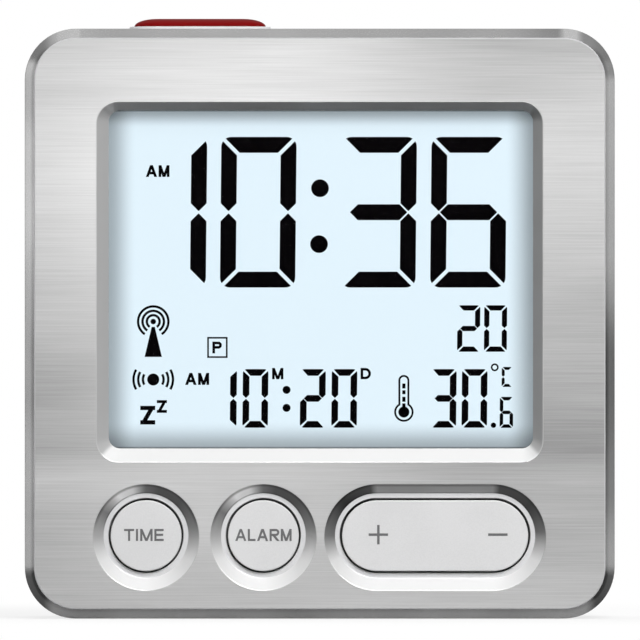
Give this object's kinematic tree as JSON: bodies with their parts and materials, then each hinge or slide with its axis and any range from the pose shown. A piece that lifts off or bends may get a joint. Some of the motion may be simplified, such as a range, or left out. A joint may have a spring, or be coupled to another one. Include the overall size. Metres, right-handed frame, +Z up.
{
  "type": "radio-controlled alarm clock",
  "caption": "Square desk alarm clock with a brushed metal face, backlit display in a bevelled window, round keys, a plus/minus rocker, a red snooze bar and a hinged battery door.",
  "frame": {"origin": "centre of the outline on the surface that the clock stands on", "axes": "+Z up, the face looks along -Y, +X to the right seen from the front"},
  "size_m": [0.09, 0.038, 0.0916],
  "materials": {
    "brushed_face": "fine horizontal brushing",
    "silver_plastic": "silver moulded plastic, fine satin texture",
    "clear_lens": "clear, polished",
    "display_film": "pale blue backlit film",
    "display_glass": "clear, polished",
    "light_guide": "clear, frosted at the back",
    "white_plastic": "plain moulded",
    "silicone": "matte silicone rubber",
    "green_board": "solder resist on glass fibre",
    "black_resin": "cast epoxy",
    "plated_steel": "nickel plated",
    "key_plastic": "satin silver paint",
    "red_plastic": "glossy dark red",
    "cell_wrap": "printed wrap over a steel can",
    "ferrite": "sintered, dark grey",
    "copper_winding": "enamelled copper wire",
    "brass_disc": "bright rolled sheet",
    "red_lead": "insulated wire",
    "black_lead": "insulated wire"
  },
  "bodies": {
    "case": {"front_panel": "brushed_face", "front_housing": "silver_plastic", "rear_housing": "silver_plastic", "window_lens": "clear_lens", "lcd_polarizer": "display_film", "lcd_front_glass": "display_glass", "lcd_rear_glass": "display_glass", "light_guide": "light_guide", "reflector_sheet": "white_plastic", "backlight_leds": "white_plastic", "lcd_frame": "white_plastic", "zebra_strip": "silicone", "main_board": "green_board", "controller_blob": "black_resin", "receiver_chip": "black_resin", "quartz_crystal": "plated_steel", "temperature_sensor": "black_resin", "keypad_mat": "silicone", "snooze_dome": "silicone", "snooze_board": "green_board", "upper_cell": "cell_wrap", "lower_cell": "cell_wrap", "battery_springs": "plated_steel", "battery_plates": "plated_steel", "ferrite_rod": "ferrite", "antenna_bobbin": "white_plastic", "antenna_coil": "copper_winding", "buzzer_disc": "brass_disc", "buzzer_ceramic": "white_plastic", "board_screws": "plated_steel", "case_screws": "plated_steel", "battery_leads": "red_lead", "buzzer_leads": "black_lead", "antenna_leads": "copper_winding", "snooze_leads": "black_lead"},
    "time_key": {"time_button": "key_plastic"},
    "alarm_key": {"alarm_button": "key_plastic"},
    "rocker": {"plus_minus_rocker": "key_plastic"},
    "snooze_bar": {"snooze_button": "red_plastic"},
    "door": {"battery_door": "silver_plastic"}
  },
  "joints": [
    {"name": "time_press", "type": "slide", "parent": "case", "child": "time_key", "axis": [0, 1, 0], "range_m": [0, 0.0008], "stiffness_N_per_m": 300, "springref_m": -0.0005, "deforming": ["keypad_mat"]},
    {"name": "alarm_press", "type": "slide", "parent": "case", "child": "alarm_key", "axis": [0, 1, 0], "range_m": [0, 0.0008], "stiffness_N_per_m": 300, "springref_m": -0.0005, "deforming": ["keypad_mat"]},
    {"name": "rocker_tilt", "type": "hinge", "parent": "case", "child": "rocker", "pos_m": [0.0176, -0.0152, 0.01265], "axis": [0, 0, 1], "range_deg": [-3, 3], "stiffness_Nm_per_rad": 0.15, "deforming": ["keypad_mat"]},
    {"name": "snooze_press", "type": "slide", "parent": "case", "child": "snooze_bar", "axis": [0, 0, -1], "range_m": [0, 0.0009], "stiffness_N_per_m": 400, "springref_m": -0.0005, "deforming": ["snooze_dome"]},
    {"name": "door_swing", "type": "hinge", "parent": "case", "child": "door", "pos_m": [0, 0.0178, 0.0106], "axis": [-1, 0, 0], "range_deg": [0, 80]}
  ]
}
